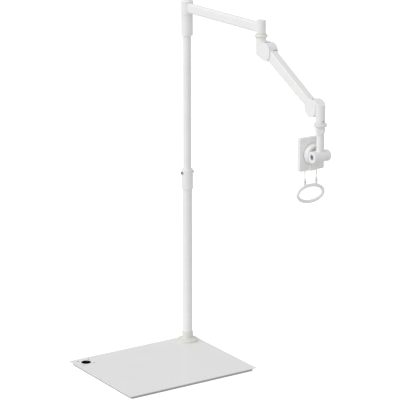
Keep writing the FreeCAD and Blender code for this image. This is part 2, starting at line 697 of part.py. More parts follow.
def spring_arm():
    """Cast beam with its under cover, pivot bushes, spring and adjuster."""
    at, dip = (0, PIVOT_Y, D.pivot_high), D.spring_dip
    reach = D.spring_reach
    start, stop = as_size(0) + D.cover_start, reach - D.cover_stop
    split_start, split_stop = half_height(start), half_height(stop)
    deep = D.under_cover_deep
    body = new_body("spring_beam", at, X_AXIS, dip)
    sketch = new_sketch(body, "side", "YZ")
    add_outline(sketch, [(0, -D.beam_half_upper), (-reach, -D.beam_half_lower),
                         (-reach, D.beam_half_lower), (0, D.beam_half_upper)])
    pad(body, sketch, D.beam_wide, centred=True)
    round_edges(body, D.beam_top_round, lambda edge: edge.BoundBox.YLength > 100
                and edge.BoundBox.ZMin > 0)
    for name, y, radius in (("upper", as_size(0), D.knuckle_upper), ("lower", -reach, D.knuckle_lower)):
        sketch = new_sketch(body, f"{name}_knuckle", "YZ")
        add_circle(sketch, y, 0, radius)
        pad(body, sketch, D.beam_wide, centred=True)
    sketch = new_sketch(body, "cover_seat", "YZ")
    add_outline(sketch, [(-start, deep - split_start), (-start, -BELOW), (-stop, -BELOW),
                         (-stop, deep - split_stop)])
    pocket(body, sketch, D.beam_wide + 2, centred=True)
    sketch = new_sketch(body, "hollow", "YZ")
    wall = D.beam_wall
    add_outline(sketch, [(-start, -BELOW), (-stop, -BELOW), (-stop, split_stop - wall),
                         (-start, split_start - wall)])
    pocket(body, sketch, D.beam_wide - 2 * wall, centred=True)
    for name, y, radius in (("upper", as_size(0), D.knuckle_upper), ("lower", -reach, D.knuckle_lower)):
        sketch = new_sketch(body, f"{name}_hollow", "YZ")
        add_circle(sketch, y, 0, radius - wall)
        pocket(body, sketch, D.knuckle_hollow, centred=True)
        sketch = new_sketch(body, f"{name}_bore", "YZ")
        add_circle(sketch, y, 0, BUSH_OUT + D.press_gap)
        pocket(body, sketch, D.beam_wide + 2, centred=True)
        link_slots(body, y)
    sketch = new_sketch(body, "throat", "YZ")
    first, last, half = D.throat_near, D.throat_far, D.throat_top
    floor = D.link_drop + D.link_rod_dia / 2 + D.slot_room
    add_outline(sketch, [(-first, -floor), (-last, -floor), (-last, half), (-first, half)])
    add_outline(sketch, [(first - reach, -floor), (first - reach, half), (last - reach, half),
                         (last - reach, -floor)])
    pocket(body, sketch, D.knuckle_hollow, centred=True)
    sketch = new_sketch(body, "stop_seats", lift=D.beam_half_upper - D.stop_deep)
    for x in (D.stop_across, D.stop_across + D.stop_spacing):
        add_box(sketch, (x, -D.stop_along - D.stop_side), (x + D.stop_side, -D.stop_along))
    half, back = D.stop_side / 2, D.stop_along - reach
    add_box(sketch, (D.stop_lower - half, back), (D.stop_lower + half, back + D.stop_side))
    pocket(body, sketch, D.stop_deep * 2, reverse=True)

    body = new_body("beam_under_cover", at, X_AXIS, dip)
    gap = D.press_gap
    sketch = new_sketch(body, "side", "YZ")
    add_outline(sketch, [(-start - gap, -split_start), (-stop + gap, -split_stop),
                         (-stop + gap, deep - split_stop - gap), (-start - gap, deep - split_start - gap)])
    pad(body, sketch, D.beam_wide, centred=True)
    round_edges(body, D.beam_under_round, lambda edge: edge.BoundBox.YLength > 100
                and near_line(edge, start, stop))
    sketch = new_sketch(body, "tray", "YZ")
    thin = D.tray_floor
    add_outline(sketch, [(-start + 5, thin - split_start), (-stop - 5, thin - split_stop),
                         (-stop - 5, deep), (-start + 5, deep)])
    pocket(body, sketch, D.beam_wide - 2 * D.tray_wall, centred=True)

    for name, y in (("upper", as_size(0)), ("lower", -reach)):
        body = new_body(f"{name}_pivot_bushes", at, X_AXIS, dip)
        for side, reverse in (("west", True), ("east", False)):
            edge = D.knuckle_hollow / 2
            sketch = new_sketch(body, side, "YZ", lift=-edge if reverse else edge)
            add_circle(sketch, y, 0, BUSH_OUT)
            add_circle(sketch, y, 0, BUSH_BORE)
            pad(body, sketch, D.beam_wide / 2 - edge, reverse=reverse)

    rise, rod = D.spring_rise, D.spring_rod_dia / 2
    for name, outlines in (
            ("spring_rod", [[(0, -D.seat_thick), (rod, -D.seat_thick),
                             (rod, D.spring_long + D.rod_past), (0, D.spring_long + D.rod_past)]]),
            ("spring_seats", [ring_outline(D.spring_dia / 2, rod + gap, -D.seat_thick, -D.seat_gap),
                              ring_outline(D.spring_dia / 2, rod + gap, D.spring_long + D.seat_gap,
                                           D.spring_long + D.seat_thick)])):
        spring_y = -D.spring_start
        body = new_body(name, (0, PIVOT_Y + spring_y * cosine(dip) - rise * sine(dip),
                               D.pivot_high + spring_y * sine(dip) + rise * cosine(dip)),
                        X_AXIS, 90 + dip)
        sketch = new_sketch(body, "profile", "XZ")
        for outline in outlines:
            add_outline(sketch, outline)
        turn(body, sketch)
    coil()


def near_line(edge, start, stop):
    """Test for the under cover's two long bottom edges."""
    box = edge.BoundBox
    return box.ZMin < -half_height(start).value + 1e-3 and box.ZMax < -half_height(stop).value + 1e-3


def coil():
    """The compression spring, a round wire swept along a helix."""
    wire, radius = D.spring_wire.value / 2, D.spring_dia.value / 2 - D.spring_wire.value / 2
    long = D.spring_long.value - 2 * wire - 2 * D.seat_gap.value
    helix = Part.makeHelix(long / D.spring_turns.value, long, radius)
    section = Part.Wire([Part.Circle(Vector(radius, 0, 0), Y_AXIS, wire).toShape()])
    spring = doc.addObject("Part::Feature", "coil_spring")
    spring.Shape = Part.Wire(helix.Edges).makePipeShell([section], True, True)
    dip = D.spring_dip.value
    lean = Rotation(X_AXIS, 90 + dip)
    start = Vector(0, -D.spring_start.value, D.spring_rise.value)
    place = Rotation(X_AXIS, dip).multVec(start) + Vector(0, PIVOT_Y.value, D.pivot_high.value)
    ahead = lean.multVec(Vector(0, 0, wire + D.seat_gap.value))
    spring.Placement = FreeCAD.Placement(place + ahead, lean)
    spring.Label = "coil_spring"
    nodes.append(spring)


def link():
    """The levelling rod that runs beside the spring and keeps the head upright."""
    body = new_body("levelling_link", (0, PIVOT_Y, D.pivot_high - D.link_drop), X_AXIS, D.spring_dip)
    reach = D.spring_reach
    sketch = new_sketch(body, "eyes", "YZ")
    for y in (as_size(0), -reach):
        add_circle(sketch, y, 0, D.link_eye)
    pad(body, sketch, D.link_thick, centred=True)
    sketch = new_sketch(body, "rod", "XZ", lift=D.link_eye - 1)
    add_circle(sketch, 0, 0, D.link_rod_dia / 2)
    pad(body, sketch, reach - 2 * D.link_eye + 2)
    sketch = new_sketch(body, "bores", "YZ")
    for y, room in ((as_size(0), D.running_gap), (-reach, as_size(0.3))):
        add_circle(sketch, y, 0, D.link_pin_dia / 2 + room)
    pocket(body, sketch, D.link_thick + 2, centred=True)


def head():
    """The level head at the spring arm's lower end."""
    body = new_body("head", (0, HEAD_Y, HEAD_Z))
    radius, post, out = CHEEK_RADIUS, D.head_post_dia / 2, D.head_post_out
    sketch = new_sketch(body, "discs", "YZ")
    add_circle(sketch, 0, 0, radius)
    pad(body, sketch, CHEEK_OUT * 2, centred=True)
    sketch = new_sketch(body, "web", "YZ")
    add_box(sketch, (-out, -D.head_web), (0, D.head_top))
    pad(body, sketch, post * 2, centred=True)
    sketch = new_sketch(body, "post", lift=-D.head_bottom)
    add_circle(sketch, 0, -out, post)
    pad(body, sketch, D.head_bottom + D.head_top)
    sketch = new_sketch(body, "slope", "YZ")
    front = -out - post - 1
    above, flat = D.head_top + 5, D.head_flat - out
    add_outline(sketch, [(flat, D.head_top), (front, D.head_top - D.head_fall), (front, above),
                         (flat, above)])
    pocket(body, sketch, FORK_OUT * 4, centred=True)
    fork_cuts(body, D.knuckle_lower, (as_size(-8), radius + 5))
    sketch = new_sketch(body, "spindle_bore", lift=-D.head_bottom)
    add_circle(sketch, 0, -out, D.wrist_dia / 2 + D.running_gap + D.wrist_bush_wall)
    pocket(body, sketch, D.head_bottom - 4, reverse=True)
    sketch = new_sketch(body, "screw_hole", "XZ", lift=out)
    add_circle(sketch, 0, -D.head_screw_drop, D.head_screw_dia / 2 + D.press_gap)
    pocket(body, sketch, post + 2, reverse=True)

    body = new_body("head_set_screw", (0, WRIST_Y, HEAD_Z - D.head_screw_drop))
    sketch = new_sketch(body, "shank", "XZ", lift=D.wrist_dia / 2 + D.face_gap)
    add_circle(sketch, 0, 0, D.head_screw_dia / 2)
    pad(body, sketch, post - D.wrist_dia / 2 + 0.6)

    inner = D.wrist_dia / 2 + D.running_gap
    outer, long = inner + D.wrist_bush_wall - D.press_gap, D.wrist_bush_long
    upper = 2 * long + D.wrist_bush_gap
    turned("wrist_bushes", [ring_outline(outer, inner, long, 2 * long),
                            ring_outline(outer, inner, upper, upper + long)], (0, WRIST_Y, HEAD_LOW))
    fork_pins("lower", HEAD_Y, HEAD_Z)


def wrist():
    """Lower ring, notched locking collar, spindle and the drop tube with its barrel."""
    swivel_ring("lower_swivel_ring", (0, WRIST_Y, LOCK_TOP))
    bore, outer, foot = D.drop_dia / 2 + D.press_gap, LOCK_OUT, D.drop_dia / 2 + D.lock_foot_wall
    collar = turned("locking_collar", [[
        (bore, 0), (foot, 0), (outer, D.lock_taper), (outer, D.lock_high), (bore, D.lock_high)]],
        (0, WRIST_Y, LOCK_TOP - D.lock_high), Z_AXIS, D.lock_turn)
    for side, reverse in (("front", False), ("back", True)):
        flat = D.drop_dia / 2 + D.lock_flat_wall
        sketch = new_sketch(collar, f"{side}_flat", "XZ", lift=-flat if reverse else flat)
        half, low = D.lock_flat_wide / 2, D.lock_taper
        add_outline(sketch, [(-half, low), (0, low - half, -half), (half, low, -half),
                             (half, D.lock_high + 1), (-half, D.lock_high + 1)])
        pocket(collar, sketch, LOCK_OUT * 2, reverse=not reverse)
    sketch = new_sketch(collar, "catch_hole", "YZ")
    half = D.lock_catch / 2
    add_box(sketch, (-half, D.lock_high - D.lock_catch - 4), (half, D.lock_high - 4))
    pocket(collar, sketch, LOCK_OUT * 2, reverse=True)

    low = D.barrel_high
    body = new_body("drop_tube", (0, WRIST_Y, low))
    high = LOCK_TOP - low
    sketch = new_sketch(body, "tube", "XZ")
    add_outline(sketch, [(0, 0), (D.drop_dia / 2, 0), (D.drop_dia / 2, high), (0, high)])
    turn(body, sketch)
    sketch = new_sketch(body, "barrel", "YZ")
    add_circle(sketch, 0, 0, BARREL)
    pad(body, sketch, D.barrel_wide, centred=True)
    sketch = new_sketch(body, "spindle_seat", lift=high)
    add_circle(sketch, 0, 0, D.wrist_dia / 2 + D.press_gap)
    pocket(body, sketch, D.wrist_seat + 1)
    sketch = new_sketch(body, "bolt_bore", "YZ")
    add_circle(sketch, 0, 0, D.tilt_bolt / 2 + D.running_gap)
    pocket(body, sketch, D.barrel_wide + 2, centred=True)

    shaft = LOCK_TOP - D.wrist_seat
    shaft_high = HEAD_Z - D.spindle_drop - shaft
    turned("wrist_spindle", [[(0, 0), (D.wrist_dia / 2, 0), (D.wrist_dia / 2, shaft_high),
                              (0, shaft_high)]], (0, WRIST_Y, shaft))


def tilt():
    """The bracket whose two lugs tilt round the barrel, and its bolt."""
    body = new_body("tilt_bracket", (0, WRIST_Y, D.barrel_high))
    back, front = WRIST_Y + D.hub_disc_back, WRIST_Y + D.hub_disc_front
    sketch = new_sketch(body, "disc", "XZ", lift=back)
    add_circle(sketch, 0, 0, D.hub_disc_dia / 2)
    pad(body, sketch, D.hub_disc_front - D.hub_disc_back)
    round_edges(body, D.hub_disc_round, lambda edge: near(edge.BoundBox.YMin, -front)
                and near(edge.BoundBox.YMax, -front))
    sketch = new_sketch(body, "dish", "XZ", lift=front)
    add_circle(sketch, 0, 0, D.hub_dish_dia / 2)
    pocket(body, sketch, D.hub_dish_deep)
    inner, total = D.barrel_wide / 2 + D.lug_gap, D.barrel_total / 2
    for side, reverse in (("west", True), ("east", False)):
        sketch = new_sketch(body, f"{side}_lug", "YZ", lift=-inner if reverse else inner)
        add_circle(sketch, 0, 0, BARREL)
        pad(body, sketch, total - inner, reverse=reverse)
        sketch = new_sketch(body, f"{side}_arm", "YZ", lift=-inner if reverse else inner)
        half = D.lug_arm_tall / 2
        add_box(sketch, (0, -half), (-front + D.hub_dish_deep + 2, half))
        pad(body, sketch, D.lug_arm_thick, reverse=reverse)
    sketch = new_sketch(body, "bolt_bore", "YZ")
    add_circle(sketch, 0, 0, D.tilt_bolt / 2 + D.press_gap)
    pocket(body, sketch, D.barrel_total + 2, centred=True)
    sketch = new_sketch(body, "head_seat", "YZ", lift=-total)
    add_circle(sketch, 0, 0, D.bolt_head / 2 + 1)
    pocket(body, sketch, D.bolt_head_deep + 1, reverse=True)
    sketch = new_sketch(body, "thread", "XZ", lift=back)
    add_circle(sketch, 0, 0, D.rotate_dia / 2 + D.press_gap)
    pocket(body, sketch, D.hub_disc_front - D.hub_disc_back - D.hub_dish_deep - 1, reverse=True)

    body = new_body("tilt_bolt", (0, WRIST_Y, D.barrel_high))
    seat_x = total - D.bolt_head_deep - 1
    sketch = new_sketch(body, "head", "YZ", lift=-seat_x)
    add_circle(sketch, 0, 0, D.bolt_head / 2)
    pad(body, sketch, D.bolt_head_deep, reverse=True)
    sketch = new_sketch(body, "shank", "YZ", lift=-seat_x)
    add_circle(sketch, 0, 0, D.tilt_bolt / 2)
    pad(body, sketch, seat_x + total - 2)
    sketch = new_sketch(body, "key", "YZ", lift=-total + 1)
    flat = D.socket_key / 2
    half = flat / FLAT_TO_CORNER / 2
    add_outline(sketch, [(half * 2, 0), (half, flat), (-half, flat), (-half * 2, 0), (-half, -flat),
                         (half, -flat)])
    pocket(body, sketch, 5, reverse=True)

    cap = BARREL - 2
    turned("tilt_cap", [[(0, 0.05), (cap, 0.05), (cap, 5), (0, 5)]],
           (total, WRIST_Y, D.barrel_high), Y_AXIS, 90,
           rounds=[(4, cap, 5)])


def plate():
    """Mounting plate, its screw-hole plate, and the piece it turns on."""
    wide, tall, wall = D.plate_wide / 2, D.plate_tall / 2, D.plate_wall
    body = new_body("plate_cover", (0, PLATE_Y, D.barrel_high))
    sketch = new_sketch(body, "plan", "XZ")
    add_box(sketch, (-wide, -tall), (wide, tall))
    pad(body, sketch, D.plate_thick - wall, reverse=True)
    round_edges(body, D.plate_corner, along_y)
    round_edges(body, D.plate_round,
                lambda edge: near(edge.BoundBox.YMin, 0) and near(edge.BoundBox.YMax, 0))
    sketch = new_sketch(body, "cavity", "XZ", lift=-wall)
    add_box(sketch, (wall - wide, wall - tall), (wide - wall, tall - wall))
    pocket(body, sketch, D.plate_thick)
    sketch = new_sketch(body, "rib", "XZ")
    add_box(sketch, (-D.rib_wide / 2, -tall + 0.5), (D.rib_wide / 2, -D.hub_disc_dia / 2 - 1))
    pad(body, sketch, D.rib_out)
    sketch = new_sketch(body, "bore", "XZ")
    add_circle(sketch, 0, 0, D.rotate_dia / 2 + D.running_gap)
    pocket(body, sketch, D.plate_thick)
    sketch = new_sketch(body, "rod_bores", lift=-tall)
    for side in (-1, 1):
        add_circle(sketch, D.handle_spacing / 2 * side, D.plate_thick / 2,
                   D.handle_rod_dia / 2 + D.press_gap)
    pocket(body, sketch, wall + 1, reverse=True)

    body = new_body("vesa_plate", (0, PLATE_FRONT, D.barrel_high))
    sketch = new_sketch(body, "plan", "XZ")
    add_box(sketch, (-wide, -tall), (wide, tall))
    pad(body, sketch, wall)
    round_edges(body, D.plate_corner, along_y)
    sketch = new_sketch(body, "holes", "XZ")
    for spacing in (D.vesa_large, D.vesa_small):
        for i in (-1, 1):
            for j in (-1, 1):
                add_circle(sketch, spacing / 2 * i, spacing / 2 * j, D.vesa_hole / 2)
    pocket(body, sketch, wall + 1, reverse=True)

    gap = PLATE_Y + D.hub_disc_back
    body = new_body("friction_disc", (0, PLATE_Y, D.barrel_high))
    sketch = new_sketch(body, "plan", "XZ")
    add_circle(sketch, 0, 0, D.friction_disc / 2)
    add_circle(sketch, 0, 0, D.rotate_dia / 2 + D.running_gap)
    pad(body, sketch, gap - D.face_gap)

    body = new_body("rotate_screw", (0, PLATE_Y + wall + D.face_gap, D.barrel_high))
    sketch = new_sketch(body, "head", "XZ")
    add_circle(sketch, 0, 0, D.rotate_head / 2)
    pad(body, sketch, D.rotate_head_thick, reverse=True)
    sketch = new_sketch(body, "shank", "XZ")
    add_circle(sketch, 0, 0, D.rotate_dia / 2)
    pad(body, sketch, wall + D.face_gap + gap + D.hub_disc_front - D.hub_disc_back
        - D.hub_dish_deep - 2)


def handle():
    """Two rods with screwed connectors, and the oval hand loop."""
    half = D.handle_spacing / 2
    plate_low = D.barrel_high - D.plate_tall / 2
    body = new_body("handle_rods", (0, CAVITY_Y, D.connector_bottom + D.rod_seat))
    sketch = new_sketch(body, "rounds")
    for side in (-1, 1):
        add_circle(sketch, half * side, 0, D.handle_rod_dia / 2)
    pad(body, sketch, plate_low + D.plate_wall + D.rod_inside - D.connector_bottom - D.rod_seat)

    body = new_body("handle_connectors", (0, CAVITY_Y, D.connector_bottom))
    sketch = new_sketch(body, "rounds")
    for side in (-1, 1):
        add_circle(sketch, half * side, 0, D.connector_dia / 2)
    pad(body, sketch, D.connector_top - D.connector_bottom)
    high = D.connector_top - D.connector_bottom
    round_edges(body, 1.2, level(high))
    sketch = new_sketch(body, "rod_bores", lift=high)
    for side in (-1, 1):
        add_circle(sketch, half * side, 0, D.handle_rod_dia / 2 + D.press_gap)
    pocket(body, sketch, high - D.rod_seat)
    sketch = new_sketch(body, "screw_bores", "XZ")
    for side in (-1, 1):
        add_circle(sketch, half * side, D.connector_screw_high, D.connector_screw / 2 + D.press_gap)
    pocket(body, sketch, D.connector_dia, reverse=True)

    body = new_body("connector_screws", (0, CAVITY_Y, D.connector_bottom))
    sketch = new_sketch(body, "rounds", "XZ", lift=D.handle_rod_dia / 2 + 0.2)
    for side in (-1, 1):
        add_circle(sketch, half * side, D.connector_screw_high, D.connector_screw / 2)
    pad(body, sketch, (D.connector_dia - D.handle_rod_dia) / 2 + 0.6)

    wide, tall, tube = (size.value for size in (D.handle_half_wide, D.handle_half_tall, D.handle_tube))
    ellipse = Part.Ellipse(Vector(), wide, tall).toShape()
    section = Part.Wire([Part.Circle(Vector(wide, 0, 0), Y_AXIS, tube / 2).toShape()])
    loop = Part.Wire([ellipse]).makePipeShell([section], True, True)
    for side in (-1, 1):
        base = Vector(side * half.value, D.connector_bottom.value - D.handle_high.value - 0.05, 0)
        loop = loop.cut(Part.makeCylinder(D.connector_dia.value / 2 + 0.05, 40, base, Y_AXIS))
    ring = doc.addObject("Part::Feature", "handle_loop")
    ring.Shape = loop
    ring.Placement = FreeCAD.Placement(Vector(0, CAVITY_Y.value, D.handle_high.value),
                                       Rotation(X_AXIS, 90))
    ring.Label = "handle_loop"
    nodes.append(ring)


for build in (base, column, mast, extension_arm, yoke, spring_arm, link, head, wrist, tilt, plate,
              handle):
    build()
doc.recompute()

for item in doc.Objects:
    if "Invalid" in item.State or "Error" in item.State:
        raise RuntimeError(f"{item.Label} failed: {item.State}")
for node in nodes:
    if node.Shape.isNull() or not node.Shape.isValid():
        raise RuntimeError(f"{node.Label} has no valid shape")

os.makedirs("parts", exist_ok=True)
for node in nodes:
    node.Shape.exportStep(f"parts/{node.Label}.step")
print(f"{len(nodes)} nodes written")
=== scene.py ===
import json
import math
import bmesh
import bpy
from mathutils import Matrix, Vector


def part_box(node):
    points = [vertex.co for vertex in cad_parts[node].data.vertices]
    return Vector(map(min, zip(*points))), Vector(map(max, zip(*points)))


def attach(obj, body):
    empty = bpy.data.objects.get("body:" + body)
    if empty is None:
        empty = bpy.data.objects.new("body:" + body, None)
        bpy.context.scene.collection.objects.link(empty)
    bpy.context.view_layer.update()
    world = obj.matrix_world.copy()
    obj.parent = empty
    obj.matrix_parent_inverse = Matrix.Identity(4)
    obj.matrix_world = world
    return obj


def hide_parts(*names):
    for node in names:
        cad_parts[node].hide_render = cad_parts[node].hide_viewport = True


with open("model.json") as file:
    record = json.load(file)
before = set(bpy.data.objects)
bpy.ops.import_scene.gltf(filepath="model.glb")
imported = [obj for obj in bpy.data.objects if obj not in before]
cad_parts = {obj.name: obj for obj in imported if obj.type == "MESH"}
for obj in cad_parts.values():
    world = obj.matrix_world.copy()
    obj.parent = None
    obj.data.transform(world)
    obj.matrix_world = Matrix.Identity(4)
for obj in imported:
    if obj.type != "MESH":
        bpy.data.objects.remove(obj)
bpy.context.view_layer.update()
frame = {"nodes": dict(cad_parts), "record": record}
NODES = frame["nodes"]
BODY_OF = {node: body for body, nodes in frame["record"]["behaviour"]["bodies"].items()
           for node in nodes}
SLOT_OF = {row["node"]: row["material_slot"] for row in frame["record"]["subparts"]}
MM = 0.001


def centre_of(node):
    """The middle of a CAD node's box at rest."""
    low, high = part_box(node)
    return (low + high) / 2


def radius_of(node):
    """Half a CAD node's width across the arm."""
    low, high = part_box(node)
    return (high.x - low.x) / 2


# ---------------------------------------------------------------- camera and light

CAMERA_AT = (-4.637, -7.176, 3.051)
CAMERA_TURN = math.radians(-33.24)
CAMERA_RISE = math.radians(15.62)
LENS_MM = 183.3
SENSOR_MM = 36
CLIP_END = 60

SKY_LEFT, SKY_RIGHT = 0.94, 0.56
KEY_FROM = (-0.88, 0.12, 0.46)
KEY_STRENGTH = 0.75
KEY_SPREAD = math.radians(40)

FLOOR_HALF = 40
FLOOR_DROP = 0.5 * MM
WHITE = (1, 1, 1, 1)


def add_camera():
    """A long lens from the front left, looking slightly down."""
    data = bpy.data.cameras.new("studio_camera")
    data.lens = LENS_MM
    data.sensor_width = SENSOR_MM
    data.clip_end = CLIP_END
    camera = bpy.data.objects.new("studio_camera", data)
    back = Vector((math.sin(CAMERA_TURN) * math.cos(CAMERA_RISE),
                   -math.cos(CAMERA_TURN) * math.cos(CAMERA_RISE), math.sin(CAMERA_RISE)))
    camera.location = CAMERA_AT
    camera.rotation_euler = back.to_track_quat("Z", "Y").to_euler()
    bpy.context.scene.collection.objects.link(camera)
    bpy.context.scene.camera = camera


def add_lights():
    """A pale studio that is dimmer on the right, with one wide soft key high on the left."""
    world = bpy.data.worlds.new("studio")
    world.use_nodes = True
    tree = world.node_tree
    way = add(tree, "ShaderNodeTexCoord").outputs["Generated"]
    across = add(tree, "ShaderNodeSeparateXYZ", {"Vector": way}).outputs["X"]
    glow = add(tree, "ShaderNodeMapRange",
               {"Value": across, "From Min": -1.0, "To Min": SKY_LEFT, "To Max": SKY_RIGHT})
    tree.nodes["Background"].inputs["Color"].default_value = WHITE
    tree.links.new(glow.outputs["Result"], tree.nodes["Background"].inputs["Strength"])
    bpy.context.scene.world = world
    key = bpy.data.lights.new("key", "SUN")
    key.energy = KEY_STRENGTH
    key.angle = KEY_SPREAD
    lamp = bpy.data.objects.new("key", key)
    lamp.rotation_euler = Vector(KEY_FROM).to_track_quat("Z", "Y").to_euler()
    bpy.context.scene.collection.objects.link(lamp)


def add_floor():
    """A plain white studio floor, just under the rubber mat."""
    mesh = bpy.data.meshes.new("studio_floor")
    corners = [(x * FLOOR_HALF, y * FLOOR_HALF, 0) for x, y in ((-1, -1), (1, -1), (1, 1), (-1, 1))]
    mesh.from_pydata(corners, [], [(0, 1, 2, 3)])
    floor = bpy.data.objects.new("studio_floor", mesh)
    floor.location.z = -FLOOR_DROP
    bpy.context.scene.collection.objects.link(floor)
    mesh.materials.append(studio_paper())


# ---------------------------------------------------------------- materials

CLOUD_DETAIL, GRAIN_DETAIL = 2.0, 3.0
CLOUD_FROM, CLOUD_TO = 0.3, 0.7
FLOOR_BOUNCE, FLOOR_GLOW = 0.22, 1.0


def linear(code):
    """An sRGB hex colour as linear red, green, blue and full alpha."""
    parts = [int(code[i:i + 2], 16) / 255 for i in (1, 3, 5)]
    return tuple(c / 12.92 if c <= 0.04045 else ((c + 0.055) / 1.055) ** 2.4 for c in parts) + (1,)


def add(tree, kind, sockets=None, **settings):
    """Add a node, set its properties, and set or link its sockets."""
    node = tree.nodes.new(kind)
    for name, value in settings.items():
        setattr(node, name, value)
    for name, value in (sockets or {}).items():
        if isinstance(value, bpy.types.NodeSocket):
            tree.links.new(value, node.inputs[name])
        else:
            node.inputs[name].default_value = value
    return node


def new_material(name, metallic, ior=1.5):
    """A material with an empty shader; a metal keeps the default index."""
    material = bpy.data.materials.new(name)
    material.use_nodes = True
    shader = material.node_tree.nodes["Principled BSDF"]
    shader.inputs["Metallic"].default_value = metallic
    shader.inputs["IOR"].default_value = ior
    return material, material.node_tree, shader


def surface(tree, shader, tones, rough, grain_mm, depth_mm, cloud_mm=60.0):
    """Colour that drifts over a hand's width, and a fine grain in gloss and relief."""
    place = add(tree, "ShaderNodeTexCoord").outputs["Object"]
    cloud = add(tree, "ShaderNodeTexNoise",
                {"Vector": place, "Scale": 1 / (cloud_mm * MM), "Detail": CLOUD_DETAIL})
    grain = add(tree, "ShaderNodeTexNoise",
                {"Vector": place, "Scale": 1 / (grain_mm * MM), "Detail": GRAIN_DETAIL})
    ramp = add(tree, "ShaderNodeValToRGB", {"Fac": cloud.outputs["Fac"]})
    for stop, position, tone in zip(ramp.color_ramp.elements, (CLOUD_FROM, CLOUD_TO), tones):
        stop.position = position
        stop.color = linear(tone)
    gloss = add(tree, "ShaderNodeMapRange",
                {"Value": grain.outputs["Fac"], "To Min": rough[0], "To Max": rough[1]})
    bump = add(tree, "ShaderNodeBump",
               {"Height": grain.outputs["Fac"], "Distance": depth_mm * MM, "Strength": 1.0})
    tree.links.new(ramp.outputs["Color"], shader.inputs["Base Color"])
    tree.links.new(gloss.outputs["Result"], shader.inputs["Roughness"])
    tree.links.new(bump.outputs["Normal"], shader.inputs["Normal"])


def powder_coated_steel():
    """Polyester powder baked on steel: satin white with a faint orange peel."""
    material, tree, shader = new_material("powder_coated_steel", metallic=0)
    surface(tree, shader, tones=("#F1F1F1", "#F5F5F4"), rough=(0.34, 0.44),
            grain_mm=1.6, depth_mm=0.012)
    return material


def powder_coated_sheet():
    """The base's sheet cover: the same powder, laid flatter, so the column mirrors faintly."""
    material, tree, shader = new_material("powder_coated_sheet", metallic=0)
    surface(tree, shader, tones=("#EFEFEF", "#F1F1F1"), rough=(0.26, 0.31),
            grain_mm=2.2, depth_mm=0.001, cloud_mm=140)
    return material


def powder_coated_casting():
    """The cast foot: the same powder over iron, a touch warmer and rougher than on the tubes."""
    material, tree, shader = new_material("powder_coated_casting", metallic=0)
    surface(tree, shader, tones=("#E2E2DC", "#E7E7E2"), rough=(0.4, 0.52),
            grain_mm=1.4, depth_mm=0.02, cloud_mm=30)
    return material


def shade_grey_plate():
    """The heavy plate's cut edges: a pale grey that is painted shade, standing in for the shade under
    the sheet cover's overhang.
    """
    material, tree, shader = new_material("shade_grey_plate", metallic=0)
    surface(tree, shader, tones=("#B9B9B9", "#C4C4C3"), rough=(0.45, 0.6),
            grain_mm=0.9, depth_mm=0.02, cloud_mm=25)
    return material


def moulded_abs():
    """ABS mouldings in the same white, with a fine spark-eroded texture, drawn 0.8 mm wide."""
    material, tree, shader = new_material("moulded_abs", metallic=0, ior=1.53)
    surface(tree, shader, tones=("#F2F2F1", "#F5F5F5"), rough=(0.38, 0.5),
            grain_mm=0.8, depth_mm=0.01, cloud_mm=40)
    return material


def moulded_acetal():
    """Natural acetal bearing rings: slightly ivory, waxy and smooth."""
    material, tree, shader = new_material("moulded_acetal", metallic=0, ior=1.48)
    surface(tree, shader, tones=("#E9E8E1", "#EFEEE8"), rough=(0.3, 0.42),
            grain_mm=1.2, depth_mm=0.006, cloud_mm=20)
    shader.inputs["Subsurface Weight"].default_value = 0.05
    return material


def zinc_plated_steel():
    """Bright zinc with a blue passivate: a cool mirror broken by fine turning marks."""
    material, tree, shader = new_material("zinc_plated_steel", metallic=1)
    surface(tree, shader, tones=("#8FA3B2", "#B4C3CD"), rough=(0.22, 0.4),
            grain_mm=0.35, depth_mm=0.006, cloud_mm=5)
    return material


def turned_steel():
    """Bare steel with turning marks, for springs, rods and washers."""
    material, tree, shader = new_material("turned_steel", metallic=1)
    surface(tree, shader, tones=("#8C8D8F", "#A5A6A8"), rough=(0.28, 0.45),
            grain_mm=0.5, depth_mm=0.01, cloud_mm=12)
    return material


def moulded_nylon():
    """Black glass-filled nylon bushes: dry and mottled by the fibres."""
    material, tree, shader = new_material("moulded_nylon", metallic=0, ior=1.53)
    surface(tree, shader, tones=("#151515", "#232323"), rough=(0.5, 0.7),
            grain_mm=0.6, depth_mm=0.01, cloud_mm=3)
    return material


def calendered_rubber():
    """Black anti-slip rubber sheet with a fabric-like calendered skin."""
    material, tree, shader = new_material("calendered_rubber", metallic=0, ior=1.52)
    surface(tree, shader, tones=("#0C0C0C", "#171717"), rough=(0.7, 0.9),
            grain_mm=1.5, depth_mm=0.08, cloud_mm=8)
    return material


def studio_paper():
    """A white paper sweep: it stays white to the lens and bounces a softer light upwards."""
    material, tree, shader = new_material("studio_paper", metallic=0)
    surface(tree, shader, tones=("#A8A8A8", "#AAAAAA"), rough=(0.8, 0.9),
            grain_mm=5, depth_mm=0.02)
    seen = add(tree, "ShaderNodeLightPath").outputs["Is Camera Ray"]
    glow = add(tree, "ShaderNodeMapRange",
               {"Value": seen, "To Min": FLOOR_BOUNCE, "To Max": FLOOR_GLOW})
    shader.inputs["Emission Color"].default_value = WHITE
    tree.links.new(glow.outputs["Result"], shader.inputs["Emission Strength"])
    return material


def hole_shade_dark():
    """Near-black for the walls of holes: painted shade standing in for the shade inside them."""
    material, tree, shader = new_material("hole_shade_dark", metallic=0.6)
    surface(tree, shader, tones=("#0E0E0F", "#1A1A1B"), rough=(0.6, 0.8),
            grain_mm=0.5, depth_mm=0.01, cloud_mm=6)
    return material


FINISH = {
    "white_powder_coat": powder_coated_steel(),
    "white_moulded_plastic": moulded_abs(),
    "ivory_bearing_plastic": moulded_acetal(),
    "zinc_plated_steel": zinc_plated_steel(),
    "bare_steel": turned_steel(),
    "black_bush_plastic": moulded_nylon(),
    "black_rubber": calendered_rubber(),
}
SHEET_COAT = powder_coated_sheet()
# Near-black painted shade for the walls of the base's holes.
HOLE_SHADE = hole_shade_dark()


